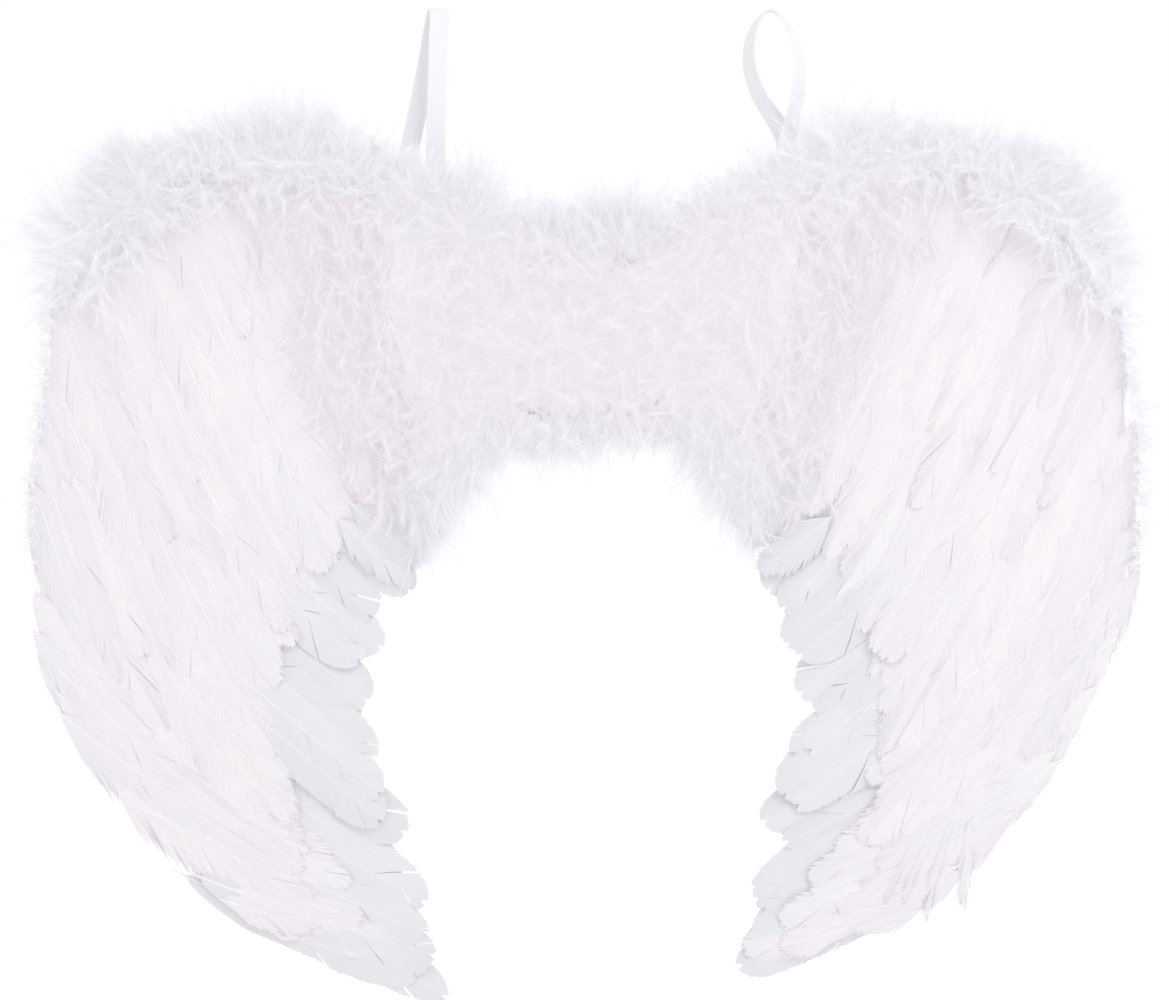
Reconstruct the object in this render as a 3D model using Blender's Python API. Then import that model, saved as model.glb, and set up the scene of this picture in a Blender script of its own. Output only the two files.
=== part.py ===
"""White feather costume wings with two elastic arm loops.

The wings stand upright as worn. X runs from the left wing to the right wing, Z is up, and the feathers
face -Y. The wearer's back is on the +Y side. The origin is the middle of the centre panel's back face.
Each wing folds about a vertical tape hinge, and each elastic loop swings on its sewn patch.
"""

from math import cos, pi, radians, sin, sqrt

import bmesh
import bpy
from mathutils import Vector

# Driving dimensions, in metres.
PIECE_GAP = 0.0003
FOLD_X = 0.050
HINGE_GAP = 0.0015
COVER_THICKNESS = 0.0012
BOARD_THICKNESS = 0.0020
WIRE_RADIUS = 0.0010
FEATHER_THICKNESS = 0.0010
FEATHER_LAYER_PITCH = 0.0014
FEATHER_LAYERS = 3
FLIGHT_FEATHERS = 10
FLIGHT_FEATHER_WIDTH = 0.036
FLIGHT_LENGTHS = (0.105, 0.138)
FLIGHT_SLOPES = (46, 27)
COVERT_THICKNESS = 0.0040
DOWN_THICKNESS = 0.0080
MARABOU_RADIUS = 0.0120
FRINGE_RADIUS = 0.0060
ELASTIC_WIDTH = 0.0100
ELASTIC_THICKNESS = 0.0012
PATCH_THICKNESS = 0.0012
PATCH_HEIGHT = 0.0140
TAPE_THICKNESS = 0.0008
TAPE_WIDTH = 0.0260

# The wing in its own plane, as (x, z): matching stations along its outer and its inner edge,
# from the fold out over the shoulder and down to the tip.
LEADING_EDGE = [
    (0.050, 0.058), (0.100, 0.084), (0.165, 0.103), (0.235, 0.094), (0.281, 0.048), (0.295, -0.040),
    (0.299, -0.120), (0.285, -0.200), (0.236, -0.264), (0.162, -0.328), (0.097, -0.354),
]
TRAILING_EDGE = [
    (0.050, -0.058), (0.074, -0.092), (0.093, -0.122), (0.106, -0.158), (0.115, -0.188), (0.114, -0.215),
    (0.110, -0.240), (0.103, -0.266), (0.094, -0.296), (0.085, -0.326), (0.078, -0.348),
]

# How far the stiff and the layered pieces stay inside the wing's outer edge, where the marabou runs.
TRIM_BAND = 0.029
MARABOU_INSET = 0.0070
WIRE_INSET = 0.040

# Where the layers lie in depth. Each value is the layer's back face.
BOARD_BACK = -COVER_THICKNESS - PIECE_GAP
WIRE_BACK = BOARD_BACK - BOARD_THICKNESS - PIECE_GAP
FLIGHT_BACK = WIRE_BACK - 2 * WIRE_RADIUS - PIECE_GAP
LOWER_COVERT_BACK = FLIGHT_BACK - FEATHER_LAYERS * FEATHER_LAYER_PITCH
MIDDLE_COVERT_BACK = LOWER_COVERT_BACK - COVERT_THICKNESS - PIECE_GAP
UPPER_COVERT_BACK = MIDDLE_COVERT_BACK - COVERT_THICKNESS - PIECE_GAP

# Elastic loops, as (x, y, z, turn of the band in degrees). A band turned by 0 shows its broad side to
# the front, and one turned by 90 shows its edge.
LEFT_LOOP = [
    (-0.0800, 0.0024, 0.0015, 0), (-0.0805, 0.0040, 0.045, 0), (-0.0810, 0.0060, 0.095, 0),
    (-0.0800, 0.0075, 0.145, 0), (-0.0795, 0.0100, 0.1620, 0), (-0.0805, 0.0150, 0.1655, 0),
    (-0.0825, 0.0190, 0.1580, 0), (-0.0885, 0.0200, 0.125, 0), (-0.0965, 0.0170, 0.085, 0),
    (-0.1020, 0.0100, 0.045, 0), (-0.1060, 0.0024, 0.0015, 0),
]
RIGHT_LOOP = [
    (0.0860, 0.0024, 0.0015, 0), (0.0930, 0.0045, 0.045, 0), (0.1010, 0.0060, 0.082, 10),
    (0.1085, 0.0065, 0.110, 35), (0.1115, 0.0080, 0.134, 50), (0.1075, 0.0110, 0.154, 70),
    (0.0970, 0.0135, 0.1650, 90), (0.0880, 0.0160, 0.157, 110), (0.0850, 0.0185, 0.140, 130),
    (0.0900, 0.0205, 0.122, 145), (0.1020, 0.0205, 0.102, 165), (0.1120, 0.0165, 0.075, 180),
    (0.1160, 0.0090, 0.040, 180), (0.1170, 0.0024, 0.0015, 180),
]


def clear_scene():
    for old in list(bpy.data.objects):
        bpy.data.objects.remove(old, do_unlink=True)


def make_material(name, colour, roughness, metallic=0.0):
    material = bpy.data.materials.new(name)
    material.use_nodes = True
    shader = material.node_tree.nodes["Principled BSDF"]
    shader.inputs["Base Color"].default_value = (*colour, 1.0)
    shader.inputs["Roughness"].default_value = roughness
    shader.inputs["Metallic"].default_value = metallic
    return material


def smooth(points, position):
    """The point at a fractional position along a smooth curve through the points."""
    last = len(points) - 1
    index = min(int(position), last - 1)
    t = position - index
    a, b, c, d = (Vector(points[max(0, min(last, index + step))]) for step in (-1, 0, 1, 2))
    return 0.5 * (2 * b + (c - a) * t + (2 * a - 5 * b + 4 * c - d) * t**2 + (3 * b - a - 3 * c + d) * t**3)


def wing_point(station, across, inset=0.0):
    """A point of the wing's plane: across runs from 0 at the inner edge to 1 at the outer edge."""
    inner = smooth(TRAILING_EDGE, station)
    outer = smooth(LEADING_EDGE, station)
    inward = (inner - outer).normalized()
    return inner.lerp(outer, across) + inward * inset


def spread(start, end, count):
    return [start + (end - start) * index / (count - 1) for index in range(count)]


def band_outline(start, end, inner=0.0, outer=1.0, inset=0.0, count=14):
    """The outline of the stretch of wing between two stations."""
    stations = spread(start, end, count)
    out = [wing_point(station, outer, inset) for station in stations]
    back = [wing_point(station, inner) for station in reversed(stations)]
    return out + back


def feather_outline(root, tip, width, count=9):
    """A quill feather: a narrow root, sides that widen and a blunt round tip."""
    along = tip - root
    sideways = Vector((-along.y, along.x)).normalized()
    places = spread(0.0, 1.0, count)
    halves = [width / 2 * sqrt(place) * sqrt(1 - place**8) for place in places]
    one_side = [root + along * place + sideways * half for place, half in zip(places, halves)]
    other_side = [root + along * place - sideways * half for place, half in zip(places, halves)]
    return one_side + other_side[-2:0:-1]


def box_outline(low_x, high_x, low_z, high_z):
    corners = [(low_x, low_z), (high_x, low_z), (high_x, high_z), (low_x, high_z)]
    return [Vector(corner) for corner in corners]


def add_object(name, data, material, collection):
    data.materials.append(material)
    piece = bpy.data.objects.new(name, data)
    collection.objects.link(piece)
    return piece


def add_plate(name, outline, back, thickness, side, material, collection, edge=0.0):
    """A flat piece of that outline, with its back face at y = back. edge rounds its rim."""
    curve = bpy.data.curves.new(name, "CURVE")
    curve.dimensions = "2D"
    curve.fill_mode = "BOTH"
    curve.extrude = thickness / 2 - edge
    curve.bevel_depth = edge
    curve.bevel_resolution = 1
    curve.offset = -edge
    spline = curve.splines.new("POLY")
    spline.points.add(len(outline) - 1)
    for slot, point in zip(spline.points, outline):
        slot.co = (side * point.x, point.y, 0.0, 1.0)
    spline.use_cyclic_u = True
    piece = add_object(name, curve, material, collection)
    piece.rotation_euler.x = pi / 2
    piece.location.y = back - thickness / 2
    return piece


def add_tube(name, points, radius, material, collection):
    """A round bar through the points, closed at both ends."""
    curve = bpy.data.curves.new(name, "CURVE")
    curve.dimensions = "3D"
    curve.bevel_depth = radius
    curve.bevel_resolution = 2
    curve.use_fill_caps = True
    spline = curve.splines.new("POLY")
    spline.points.add(len(points) - 1)
    for slot, point in zip(spline.points, points):
        slot.co = (*point, 1.0)
    return add_object(name, curve, material, collection)


def edge_route(start, end, inset, depth, side, count=12):
    """Points along the wing's outer edge, at one depth."""
    route = []
    for station in spread(start, end, count):
        point = wing_point(station, 1.0, inset)
        route.append(Vector((side * point.x, depth, point.y)))
    return route


def add_elastic(name, loop, pivot, material, collection, steps=4):
    """A flat band lofted along a loop, with its origin at the pivot where its two ends are sewn."""
    mesh = bmesh.new()
    count = (len(loop) - 1) * steps + 1
    places = spread(0.0, len(loop) - 1.0, count)
    centres = [smooth(loop, place) for place in places]
    rings = []
    for index, centre in enumerate(centres):
        ahead = centres[min(index + 1, count - 1)]
        behind = centres[max(index - 1, 0)]
        tangent = Vector(ahead[:3]) - Vector(behind[:3])
        tangent.normalize()
        turn = radians(centre[3])
        across = Vector((cos(turn), sin(turn), 0.0))
        across = (across - tangent * across.dot(tangent)).normalized()
        through = tangent.cross(across)
        middle = Vector(centre[:3]) - pivot
        corners = ((-1, -1), (1, -1), (1, 1), (-1, 1))
        offsets = [across * u * ELASTIC_WIDTH / 2 + through * v * ELASTIC_THICKNESS / 2 for u, v in corners]
        rings.append([mesh.verts.new(middle + offset) for offset in offsets])
    for ring, following in zip(rings, rings[1:]):
        for corner in range(4):
            beside = (corner + 1) % 4
            mesh.faces.new((ring[corner], ring[beside], following[beside], following[corner]))
    mesh.faces.new(rings[0][::-1])
    mesh.faces.new(rings[-1])
    bmesh.ops.triangulate(mesh, faces=mesh.faces)
    bmesh.ops.recalc_face_normals(mesh, faces=mesh.faces)
    data = bpy.data.meshes.new(name)
    mesh.to_mesh(data)
    mesh.free()
    piece = add_object(name, data, material, collection)
    piece.location = pivot
    return piece


def add_flight_feathers(prefix, side, material, collection):
    """Quill feathers side by side down the inner edge, each in another layer than its neighbours.

    From the first, by the fold, to the last, at the wing's tip, they get longer and lie flatter.
    """
    stations = spread(1.7, 10.0, FLIGHT_FEATHERS)
    lengths = spread(*FLIGHT_LENGTHS, FLIGHT_FEATHERS)
    slopes = spread(*FLIGHT_SLOPES, FLIGHT_FEATHERS)
    for index, (station, length, slope) in enumerate(zip(stations, lengths, slopes)):
        tip = wing_point(station, 0.0)
        root = tip + Vector((cos(radians(slope)), sin(radians(slope)))) * length
        back = FLIGHT_BACK - (index % FEATHER_LAYERS) * FEATHER_LAYER_PITCH
        outline = feather_outline(root, tip, FLIGHT_FEATHER_WIDTH)
        name = f"{prefix}_flight_feather_{index + 1}"
        add_plate(name, outline, back, FEATHER_THICKNESS, side, material, collection)


def add_wing(prefix, side, loop, materials, collection):
    """One wing: panel, felt, wire, feather layers, down, marabou, patch and elastic."""
    board = band_outline(0.0, 9.0, 0.22, 1.0, TRIM_BAND, 18)
    board = [Vector((max(point.x, FOLD_X + HINGE_GAP), point.y)) for point in board]
    add_plate(f"{prefix}_wing_board", board, BOARD_BACK, BOARD_THICKNESS, side, materials["card"], collection)

    cover = band_outline(0.0, 9.2, 0.19, 1.0, TRIM_BAND - 0.002, 18)
    cover = [Vector((max(point.x, FOLD_X + TAPE_WIDTH / 2 + PIECE_GAP), point.y)) for point in cover]
    add_plate(f"{prefix}_back_cover", cover, 0.0, COVER_THICKNESS, side, materials["felt"], collection)

    wire = edge_route(0.5, 8.4, WIRE_INSET, WIRE_BACK - WIRE_RADIUS, side, 24)
    add_tube(f"{prefix}_leading_edge_wire", wire, WIRE_RADIUS, materials["steel"], collection)

    add_flight_feathers(prefix, side, materials["quill"], collection)

    lower = band_outline(5.9, 9.8, 0.10, 1.0)
    add_plate(f"{prefix}_lower_coverts", lower, LOWER_COVERT_BACK, COVERT_THICKNESS, side,
              materials["feather"], collection, 0.0012)
    middle = band_outline(3.0, 7.8, 0.16, 1.0, TRIM_BAND)
    add_plate(f"{prefix}_middle_coverts", middle, MIDDLE_COVERT_BACK, COVERT_THICKNESS, side,
              materials["feather"], collection, 0.0012)
    upper = band_outline(1.6, 5.4, 0.20, 1.0, TRIM_BAND)
    add_plate(f"{prefix}_upper_coverts", upper, UPPER_COVERT_BACK, COVERT_THICKNESS, side,
              materials["feather"], collection, 0.0012)
    root_down = band_outline(0.35, 1.5, 0.04, 1.0, TRIM_BAND)
    add_plate(f"{prefix}_root_down", root_down, LOWER_COVERT_BACK, 2.4 * DOWN_THICKNESS, side,
              materials["down"], collection, 0.003)

    depth = BOARD_BACK - MARABOU_RADIUS
    top = edge_route(0.30, 3.10, MARABOU_INSET, depth, side)
    add_tube(f"{prefix}_top_marabou", top, MARABOU_RADIUS, materials["down"], collection)
    shoulder = edge_route(3.20, 5.55, MARABOU_INSET, depth, side)
    add_tube(f"{prefix}_shoulder_marabou", shoulder, MARABOU_RADIUS, materials["down"], collection)

    ends = (loop[0][0], loop[-1][0])
    margin = ELASTIC_WIDTH / 2 + 0.004
    patch = box_outline(min(ends) - margin, max(ends) + margin, -PATCH_HEIGHT, 0.0)
    add_plate(f"{prefix}_strap_patch", patch, PIECE_GAP + PATCH_THICKNESS, PATCH_THICKNESS, 1,
              materials["felt"], collection)
    pivot = Vector((sum(ends) / 2, loop[0][1], 0.0010))
    add_elastic(f"{prefix}_elastic_strap", loop, pivot, materials["elastic"], collection)

    tape_back = BOARD_BACK + PIECE_GAP + TAPE_THICKNESS
    tape_low = wing_point(0.0, 0.0).y + 0.012
    tape_high = wing_point(0.0, 1.0, TRIM_BAND).y - 0.004
    tape_middle = side * FOLD_X
    tape = box_outline(tape_middle - TAPE_WIDTH / 2, tape_middle + TAPE_WIDTH / 2, tape_low, tape_high)
    add_plate(f"{prefix}_fold_tape", tape, tape_back, TAPE_THICKNESS, 1, materials["tape"], collection)


def add_centre(materials, collection):
    """The panel between the wings, with its felt, its down and its fringes."""
    half_panel = FOLD_X - HINGE_GAP
    half_cover = FOLD_X - TAPE_WIDTH / 2 - PIECE_GAP
    panel_low = wing_point(0.0, 0.0).y + 0.010
    panel_high = wing_point(0.0, 1.0, TRIM_BAND).y
    panel = box_outline(-half_panel, half_panel, panel_low, panel_high)
    add_plate("centre_board", panel, BOARD_BACK, BOARD_THICKNESS, 1, materials["card"], collection)
    cover = box_outline(-half_cover, half_cover, panel_low, panel_high)
    add_plate("centre_back_cover", cover, 0.0, COVER_THICKNESS, 1, materials["felt"], collection)

    half_pad = FOLD_X - 0.006
    pad = box_outline(-half_pad, half_pad, panel_low, panel_high)
    add_plate("centre_down_pad", pad, WIRE_BACK, 3.5 * DOWN_THICKNESS, 1, materials["down"], collection, 0.004)

    depth = BOARD_BACK - MARABOU_RADIUS
    top_height = panel_high + MARABOU_RADIUS + PIECE_GAP
    top = [Vector((x, depth, top_height)) for x in spread(-half_pad, half_pad, 6)]
    add_tube("centre_top_marabou", top, MARABOU_RADIUS, materials["down"], collection)

    fringe_height = panel_low - FRINGE_RADIUS - PIECE_GAP
    fringe = [Vector((x, depth, fringe_height)) for x in spread(-half_pad, half_pad, 6)]
    add_tube("centre_bottom_fringe", fringe, FRINGE_RADIUS, materials["down"], collection)


def make_materials():
    return {
        "quill": make_material("quill_feather", (0.84, 0.84, 0.86), 0.55),
        "feather": make_material("covert_feather", (0.87, 0.84, 0.86), 0.70),
        "down": make_material("marabou_down", (0.90, 0.89, 0.90), 0.90),
        "elastic": make_material("white_elastic", (0.88, 0.88, 0.90), 0.60),
        "felt": make_material("white_felt", (0.82, 0.82, 0.81), 0.95),
        "tape": make_material("woven_tape", (0.80, 0.80, 0.80), 0.75),
        "card": make_material("grey_card", (0.62, 0.58, 0.52), 0.85),
        "steel": make_material("steel_wire", (0.56, 0.57, 0.58), 0.35, 1.0),
    }


def main():
    clear_scene()
    collection = bpy.data.collections.new("fairy_wings")
    bpy.context.scene.collection.children.link(collection)
    materials = make_materials()
    add_centre(materials, collection)
    add_wing("left", -1, LEFT_LOOP, materials, collection)
    add_wing("right", 1, RIGHT_LOOP, materials, collection)


main()
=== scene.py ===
from math import cos, pi, radians, sin

import bpy
import numpy as np
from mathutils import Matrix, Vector


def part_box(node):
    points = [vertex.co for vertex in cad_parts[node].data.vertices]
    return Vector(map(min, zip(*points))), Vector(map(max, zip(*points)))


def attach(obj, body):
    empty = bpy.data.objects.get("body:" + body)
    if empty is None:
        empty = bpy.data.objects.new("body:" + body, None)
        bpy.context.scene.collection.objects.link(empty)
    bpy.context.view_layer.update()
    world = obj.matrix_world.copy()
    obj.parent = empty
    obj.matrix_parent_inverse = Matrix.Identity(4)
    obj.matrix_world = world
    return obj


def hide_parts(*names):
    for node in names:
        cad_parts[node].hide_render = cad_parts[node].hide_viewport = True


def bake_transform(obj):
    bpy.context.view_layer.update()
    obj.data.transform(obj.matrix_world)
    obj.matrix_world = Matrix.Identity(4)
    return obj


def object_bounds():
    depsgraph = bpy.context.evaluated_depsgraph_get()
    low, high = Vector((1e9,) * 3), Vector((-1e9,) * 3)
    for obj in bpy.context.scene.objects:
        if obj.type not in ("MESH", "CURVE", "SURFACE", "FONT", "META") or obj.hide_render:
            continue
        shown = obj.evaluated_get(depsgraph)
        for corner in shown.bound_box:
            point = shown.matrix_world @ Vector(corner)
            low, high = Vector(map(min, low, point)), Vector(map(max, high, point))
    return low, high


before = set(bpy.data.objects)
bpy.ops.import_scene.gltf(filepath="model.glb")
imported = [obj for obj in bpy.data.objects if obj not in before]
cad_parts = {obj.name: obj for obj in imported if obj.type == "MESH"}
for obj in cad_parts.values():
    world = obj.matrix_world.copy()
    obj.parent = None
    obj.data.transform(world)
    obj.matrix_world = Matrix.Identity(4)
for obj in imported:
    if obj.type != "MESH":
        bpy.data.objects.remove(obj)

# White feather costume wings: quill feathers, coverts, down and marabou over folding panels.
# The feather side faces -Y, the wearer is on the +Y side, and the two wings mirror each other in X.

CAD_LOW, CAD_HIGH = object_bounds()
MM = 0.001

# Down that stands further forward than this is pressed back into a layer this deep.
SOFT_FRONT = CAD_LOW.y + 6 * MM
SOFT_DEPTH = 15 * MM
# At rest, the card behind the feathers holds them from here on, within a layer this deep.
SOFT_BACK = -3.2 * MM
BACK_DEPTH = 1.2 * MM

# How far each layer lies in front of the back's face. The pairs are in mm, for a random draw between them.
UNDER_LAYER_DEPTH = 8.4 * MM
COVERT_DEPTHS = (9.2, 10.4)
ROOT_FEATHER_DEPTHS = (10.0, 12.5)
LOOSE_BARB_DEPTHS = (11.5, 13.5)
TORN_STRIP_DEPTH = 11.5 * MM
TRIM_CORE_DEPTH = 11 * MM
PAD_CORE_DEPTH = 13 * MM

# The wing's silhouette as (x, z) in metres: matching stations along its outer and its inner edge.
RIGHT_OUTER = [
    (0.050, 0.062), (0.100, 0.085), (0.158, 0.102), (0.228, 0.090), (0.274, 0.044), (0.290, -0.037),
    (0.293, -0.117), (0.274, -0.180), (0.232, -0.256), (0.158, -0.322), (0.095, -0.350),
]
RIGHT_INNER = [
    (0.050, -0.058), (0.070, -0.086), (0.088, -0.118), (0.098, -0.150), (0.106, -0.184), (0.110, -0.212),
    (0.106, -0.240), (0.100, -0.262), (0.093, -0.292), (0.085, -0.322), (0.078, -0.344),
]
LEFT_OUTER = [
    (0.050, 0.060), (0.092, 0.084), (0.160, 0.104), (0.236, 0.088), (0.278, 0.048), (0.291, -0.030),
    (0.299, -0.110), (0.289, -0.190), (0.240, -0.258), (0.165, -0.326), (0.097, -0.354),
]
LEFT_INNER = [
    (0.050, -0.060), (0.072, -0.090), (0.090, -0.122), (0.104, -0.156), (0.116, -0.190), (0.117, -0.218),
    (0.110, -0.242), (0.102, -0.268), (0.095, -0.298), (0.088, -0.326), (0.080, -0.350),
]
LAST_STATION = 10.0
EDGE_STATIONS = np.linspace(0.0, LAST_STATION, 80)

# How much of the quill feathers shows past the coverts, in mm, at these stations from fold to tip.
QUILL_MARGIN_STATIONS = (0.0, 1.5, 3.0, 6.5, 8.5, LAST_STATION)
QUILL_MARGIN = (8, 26, 46, 54, 56, 64)

# A covert grows from the shortest length by this step, and is steered by small turns, until it fits.
SHORTEST_COVERT = 36 * MM
COVERT_LENGTH_STEP = 5 * MM
STEERING_TURN = 0.07
STEERING_TRIES = 14


def smooth(points, position):
    """The point at a fractional position along a smooth curve through the points."""
    last = len(points) - 1
    index = int(min(max(position, 0.0), last - 1e-6))
    t = position - index
    a, b, c, d = (np.array(points[max(0, min(last, index + step))]) for step in (-1, 0, 1, 2))
    return 0.5 * (2 * b + (c - a) * t + (2 * a - 5 * b + 4 * c - d) * t**2 + (3 * b - a - 3 * c + d) * t**3)


def unit(vector):
    """The vector at length 1."""
    return vector / np.linalg.norm(vector)


def units(vectors):
    """Each row of the vectors at length 1."""
    return vectors / np.linalg.norm(vectors, axis=1, keepdims=True)


class Wing:
    """One wing's name, body, side and silhouette."""

    def __init__(self, prefix, side, outer, inner):
        self.prefix = prefix
        self.side = side
        self.outer = outer
        self.inner = inner
        self.body = f"{prefix}_wing"

    def random(self, seed):
        """The random draws of one job on this wing. The left wing's seed is one more than the right's."""
        return np.random.default_rng(seed + (1 if self.side < 0 else 0))

    def point(self, station, across):
        """A point of the wing's plane: across is 0 at the inner edge and 1 at the outer edge."""
        inner = smooth(self.inner, station)
        outer = smooth(self.outer, station)
        x, z = inner + (outer - inner) * across
        return np.array((self.side * x, 0.0, z))

    def inward(self, station):
        """The way from the outer edge to the inner edge."""
        return unit(self.point(station, 0.0) - self.point(station, 1.0))

    def tipward(self, station, across):
        """The way towards the wing's tip."""
        return unit(self.point(station + 0.2, across) - self.point(station - 0.2, across))

    def lie(self, station, across):
        """The way a feather points at that place."""
        turn = min(max((station - 2.4) / 3.4, 0.0), 1.0)
        ease = 1.0 - 0.35 * min(max((station - 5.8) / 2.2, 0.0), 1.0)
        share = turn * ease * (0.30 + 0.42 * across)
        way = self.inward(station) * (1 - share) + self.tipward(station, across) * share
        return unit(way + self.inward(station) * 0.25 * max(across - 0.8, 0.0) / 0.2)

    def steered(self, base, way, length, margin):
        """The feather's way, turned inwards until its tip lies inside the wing's outer edge."""
        edge = np.array([self.point(station, 1.0) for station in EDGE_STATIONS])
        for _ in range(STEERING_TRIES):
            tip = base + way * length
            nearest = np.hypot(edge[:, 0] - tip[0], edge[:, 2] - tip[2]).argmin()
            inward = self.inward(EDGE_STATIONS[nearest])
            if (tip - edge[nearest]) @ inward > margin:
                break
            way = unit(way + STEERING_TURN * inward)
        return way

    def room(self, base, way, longest):
        """How long a feather can be before its tip comes too near the wing's inner edge."""
        edge = np.array([self.point(station, 0.0) for station in EDGE_STATIONS])
        margin = np.interp(EDGE_STATIONS, QUILL_MARGIN_STATIONS, QUILL_MARGIN) * MM
        length = SHORTEST_COVERT
        while length < longest:
            tip = base + way * (length + COVERT_LENGTH_STEP)
            gap = np.hypot(edge[:, 0] - tip[0], edge[:, 2] - tip[2]) - margin
            if gap.min() < 0:
                break
            length += COVERT_LENGTH_STEP
        return length


RIGHT = Wing("right", 1, RIGHT_OUTER, RIGHT_INNER)
LEFT = Wing("left", -1, LEFT_OUTER, LEFT_INNER)


class Mesh:
    """Collects the quads of one piece, each with the number of its material."""

    def __init__(self):
        self.points = []
        self.quads = []
        self.slots = []
        self.total = 0

    def add(self, points, quads, slot):
        """Adds quads over their own points, in one material slot or in one for each quad."""
        self.points.append(points)
        self.quads.append(quads + self.total)
        self.slots.append(np.broadcast_to(slot, len(quads)))
        self.total += len(points)

    def build(self, name, materials, feathery=True):
        """Makes the piece. Feathery pieces are pressed into the room between the card and the front."""
        points = np.concatenate(self.points).astype(np.float32)
        if feathery:
            proud = np.maximum(SOFT_FRONT - points[:, 1], 0.0)
            points[:, 1] += proud - SOFT_DEPTH * np.tanh(proud / SOFT_DEPTH)
            through = np.maximum(points[:, 1] - SOFT_BACK, 0.0)
            points[:, 1] -= through - BACK_DEPTH * np.tanh(through / BACK_DEPTH)
        quads = np.concatenate(self.quads).astype(np.int32)
        mesh = bpy.data.meshes.new(name)
        mesh.vertices.add(len(points))
        mesh.vertices.foreach_set("co", points.ravel())
        mesh.loops.add(quads.size)
        mesh.loops.foreach_set("vertex_index", quads.ravel())
        mesh.polygons.add(len(quads))
        mesh.polygons.foreach_set("loop_start", np.arange(0, quads.size, 4, dtype=np.int32))
        mesh.polygons.foreach_set("material_index", np.concatenate(self.slots).astype(np.int32))
        mesh.update(calc_edges=True)
        for material in materials:
            mesh.materials.append(material)
        mesh.polygons.foreach_set("use_smooth", np.ones(len(quads), bool))
        piece = bpy.data.objects.new(name, mesh)
        bpy.context.scene.collection.objects.link(piece)
        return piece


def grid_quads(rows, columns, keep=None):
    """Quads between neighbouring rows of a grid, apart from the row gaps that keep leaves out."""
    row = np.arange(rows - 1) if keep is None else np.arange(rows - 1)[keep]
    start = (row[:, None] * columns + np.arange(columns - 1)[None, :]).ravel()
    return np.stack((start, start + 1, start + columns + 1, start + columns), axis=1)


FRONT = np.array((0.0, -1.0, 0.0))


# ---------------------------------------------------------------- feathers

def shaft_points(base, axis, side, front, length, bend, lift, curl, places):
    """Points along a feather's shaft: it bends in its plane, lifts towards its tip and curls over."""
    places = places[:, None]
    in_plane = base + axis * length * places + side * bend * length * places**2
    return in_plane + front * (lift * places + curl * places**3)


def add_shaft(mesh, line, side, front, radius, slot):
    """A tapered shaft of four sides along the line."""
    count = len(line)
    taper = (radius * (1 - 0.82 * np.linspace(0, 1, count)))[:, None]
    offsets = (side, front * 1.1, -side, -front * 0.6, side)
    ring = np.stack([line + offset * taper for offset in offsets], axis=1)
    mesh.add(ring.reshape(-1, 3), grid_quads(count, 5), slot)


def barb_places(rng, start, step, clump_size):
    """Places of the barbs along the shaft, in clumps that a narrow slit parts, and each barb's clump."""
    places, clumps = [], []
    place, clump = start, 0
    while place < 1.0:
        for _ in range(rng.integers(*clump_size)):
            if place >= 1.0:
                break
            places.append(place)
            clumps.append(clump)
            place += step
        place -= step * 0.8
        clump += 1
    return np.array(places), np.array(clumps)


# Each halving brings the end of a barb twice as close to the feather's outline.
REACH_HALVINGS = 18


def barb_reach(shape, places, angle):
    """How far each barb runs before it meets the feather's outline, which ends in a blunt round tip."""
    near = np.zeros(len(places))
    far = np.full(len(places), 2.5 * shape["half_width"]) / np.sin(angle)
    for _ in range(REACH_HALVINGS):
        middle = (near + far) / 2
        end = places + middle * np.cos(angle) / shape["length"]
        rise = np.clip((end - shape["bare"]) / 0.30, 0, 1) ** 0.6
        outline = shape["half_width"] * rise * np.sqrt(np.clip(1 - (end / 1.02) ** shape["bluntness"], 0, 1))
        inside = middle * np.sin(angle) < outline
        near = np.where(inside, middle, near)
        far = np.where(inside, far, middle)
    return near


def add_vane(mesh, rng, shape, frame_axes, hand, tone):
    """One side of a feather: rows of barbs that run out from the shaft towards the tip."""
    axis, side, front = frame_axes
    places, clumps = barb_places(rng, shape["bare"], shape["barb_step"] / shape["length"], shape["clump"])
    line = shaft_points(shape["base"], axis, side, front, shape["length"], shape["bend"], shape["lift"],
                        shape["curl"], places)
    count = clumps.max() + 1
    along = (places - shape["bare"]) / (1 - shape["bare"])
    angle = radians(shape["barb_angle"]) - radians(shape["barb_close"]) * along
    reach = barb_reach(shape, places, angle)
    angle = angle + rng.normal(0, radians(shape["ruffle"]), count)[clumps]
    reach = reach * rng.normal(1.0, shape["notch"], count)[clumps]
    reach = reach * rng.normal(1.0, shape["fray"], len(places)) + 0.2 * MM
    rise = rng.normal(0, shape["unevenness"], count)[clumps]
    columns = np.array((0.0, 0.35, 0.7, 1.0))
    out = reach[:, None] * columns[None, :]
    swing = angle[:, None] * (1.06 - 0.12 * columns[None, :])
    ridge = np.where(np.arange(len(places)) % 2 == 0, shape["ridge"], -shape["ridge"])[:, None]
    height = ridge * np.array((0.4, 1.0, 1.0, 0.5))[None, :] + rise[:, None] * columns[None, :]
    height = height - shape["camber"] * (reach / shape["half_width"])[:, None] * columns[None, :] ** 2
    points = (
        line[:, None, :]
        + axis * (np.cos(swing) * out)[:, :, None]
        + side * (hand * np.sin(swing) * out)[:, :, None]
        + front * height[:, :, None]
    )
    rows = np.arange(len(places) - 1)[clumps[1:] == clumps[:-1]]
    start = rows[:, None] * 4 + np.arange(3)[None, :]
    quads = np.stack((start, start + 1, start + 5, start + 4), axis=2).reshape(-1, 4)
    mesh.add(points.reshape(-1, 3), quads, tone)


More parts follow.
